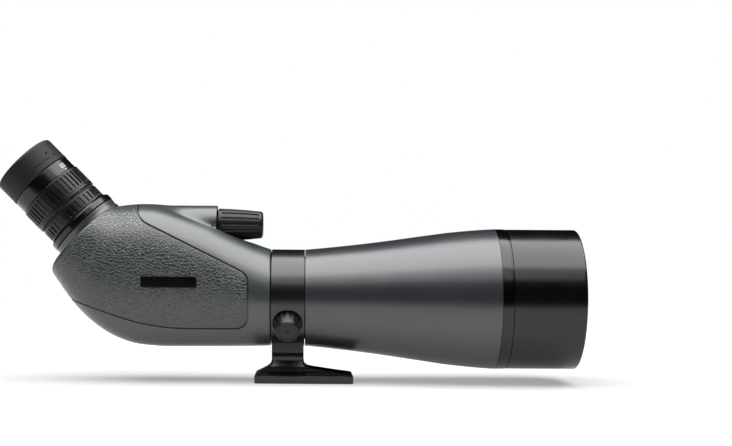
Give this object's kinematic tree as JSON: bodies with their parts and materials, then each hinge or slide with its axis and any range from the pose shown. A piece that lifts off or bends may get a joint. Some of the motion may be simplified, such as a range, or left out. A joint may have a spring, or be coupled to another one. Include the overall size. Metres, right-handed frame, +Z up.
{
  "type": "spotting scope",
  "caption": "Angled zoom spotting scope with a rotating tripod collar and foot, ribbed focus knob, sliding lens hood, zoom ring and twist-up rubber eyecup.",
  "frame": {"origin": "mouth of the tripod thread in the foot's base, on the thread's axis", "axes": "+X forward along the tube towards the objective, +Z up, +Y to the left of somebody looking through the scope; the eyepiece leans back and up in the X-Z plane"},
  "size_m": [0.3991, 0.0968, 0.1664],
  "materials": {
    "stand_black": "painted satin",
    "brass": "machined",
    "steel": "machined",
    "nylon": "matt",
    "bright_metal": "machined",
    "black_metal": "matt anodised",
    "gloss_black": "painted gloss",
    "tube_grey": "painted satin",
    "body_green": "painted satin",
    "armour": "leather grain",
    "soft_rubber": "matt",
    "grip_rubber": "satin",
    "badge": "gloss",
    "felt": "felt",
    "glass": "coated"
  },
  "bodies": {
    "stand": {"collar_ring": "stand_black", "collar_liner": "nylon", "tripod_foot": "stand_black", "tripod_insert": "brass", "foot_screws": "steel"},
    "lock_shoe": {"lock_shoe": "nylon"},
    "lock_knob": {"lock_knob": "stand_black", "lock_screw": "steel"},
    "scope": {"collar_sleeve": "bright_metal", "objective_tube": "tube_grey", "lens_barrel": "gloss_black", "hood_felt": "felt", "lens_cell": "black_metal", "objective_rear_lens": "glass", "lens_spacer": "black_metal", "objective_front_lens": "glass", "lens_retainer": "black_metal", "prism_housing": "body_green", "rear_armour": "armour", "badges": "badge", "light_baffle": "black_metal", "guide_rod": "steel", "focus_bush": "brass", "focus_seal": "soft_rubber", "roof_prism": "glass", "prism_frame": "black_metal", "prism_clip": "steel", "frame_screws": "steel", "port_window": "glass", "port_flange": "gloss_black", "flange_screws": "steel", "eyepiece_base": "gloss_black", "eyepiece_barrel": "black_metal", "scale_ring": "gloss_black", "guide_tube": "black_metal", "eye_lens": "glass", "eye_lens_ring": "black_metal"},
    "hood": {"hood": "gloss_black"},
    "focus_knob": {"focus_shaft": "steel", "shaft_clip": "steel", "focus_grip": "grip_rubber", "focus_knob_core": "bright_metal", "focus_knob_cap": "grip_rubber"},
    "focus_carriage": {"focus_carriage": "black_metal", "focus_lens": "glass", "focus_lens_ring": "black_metal"},
    "eyepiece_lock": {"eyepiece_lock_ring": "grip_rubber"},
    "zoom_ring": {"zoom_ring_core": "bright_metal", "zoom_grip": "grip_rubber", "zoom_drive_screw": "steel", "zoom_cam": "bright_metal"},
    "zoom_front_group": {"zoom_front_cell": "black_metal", "zoom_front_lens": "glass"},
    "zoom_rear_group": {"zoom_rear_cell": "black_metal", "zoom_rear_lens": "glass"},
    "eyecup_lift": {"eyecup_glide_ring": "nylon"},
    "eyecup": {"eyecup_sleeve": "black_metal", "eyecup": "soft_rubber"}
  },
  "joints": [
    {"name": "collar_turn", "type": "hinge", "parent": "stand", "child": "scope", "pos_m": [-0.0112, 0, 0.058], "axis": [1, 0, 0], "range_deg": [-145, 145]},
    {"name": "lock_shoe_slide", "type": "slide", "parent": "stand", "child": "lock_shoe", "axis": [0, -0.866, -0.5], "range_m": [0, 0.0006]},
    {"name": "lock_knob_turn", "type": "hinge", "parent": "lock_shoe", "child": "lock_knob", "pos_m": [-0.0112, -0.03421, 0.03825], "axis": [0, -0.866, -0.5], "range_deg": [0, 360]},
    {"name": "hood_slide", "type": "slide", "parent": "scope", "child": "hood", "axis": [1, 0, 0], "range_m": [0, 0.026]},
    {"name": "focus_turn", "type": "hinge", "parent": "scope", "child": "focus_knob", "pos_m": [-0.0447, 0, 0.1083], "axis": [1, 0, 0], "range_deg": [-480, 480]},
    {"name": "focus_carriage_slide", "type": "slide", "parent": "scope", "child": "focus_carriage", "axis": [1, 0, 0], "range_m": [-0.0085, 0.0085]},
    {"name": "eyepiece_lock_turn", "type": "hinge", "parent": "scope", "child": "eyepiece_lock", "pos_m": [-0.15991, 0, 0.11451], "axis": [-0.7071, 0, 0.7071], "range_deg": [0, 40]},
    {"name": "zoom_turn", "type": "hinge", "parent": "scope", "child": "zoom_ring", "pos_m": [-0.17051, 0, 0.12511], "axis": [-0.7071, 0, 0.7071], "range_deg": [0, 150]},
    {"name": "zoom_front_slide", "type": "slide", "parent": "scope", "child": "zoom_front_group", "axis": [-0.7071, 0, 0.7071], "range_m": [-0.0061, 0.0001]},
    {"name": "zoom_rear_slide", "type": "slide", "parent": "scope", "child": "zoom_rear_group", "axis": [-0.7071, 0, 0.7071], "range_m": [-0.0001, 0.0091]},
    {"name": "eyecup_lift_slide", "type": "slide", "parent": "scope", "child": "eyecup_lift", "axis": [-0.7071, 0, 0.7071], "range_m": [0, 0.009]},
    {"name": "eyecup_twist", "type": "hinge", "parent": "eyecup_lift", "child": "eyecup", "pos_m": [-0.1896, 0, 0.1442], "axis": [-0.7071, 0, 0.7071], "range_deg": [0, 180]}
  ],
  "couplings": [
    {"joint": "lock_shoe_slide", "follows": "lock_knob_turn", "m_per_rad": 0.000095483},
    {"joint": "focus_carriage_slide", "follows": "focus_turn", "m_per_rad": -0.00095493},
    {"joint": "zoom_front_slide", "follows": "zoom_turn", "m_per_rad": -0.0022918},
    {"joint": "zoom_rear_slide", "follows": "zoom_turn", "m_per_rad": 0.0034377},
    {"joint": "eyecup_lift_slide", "follows": "eyecup_twist", "m_per_rad": 0.0028645}
  ]
}
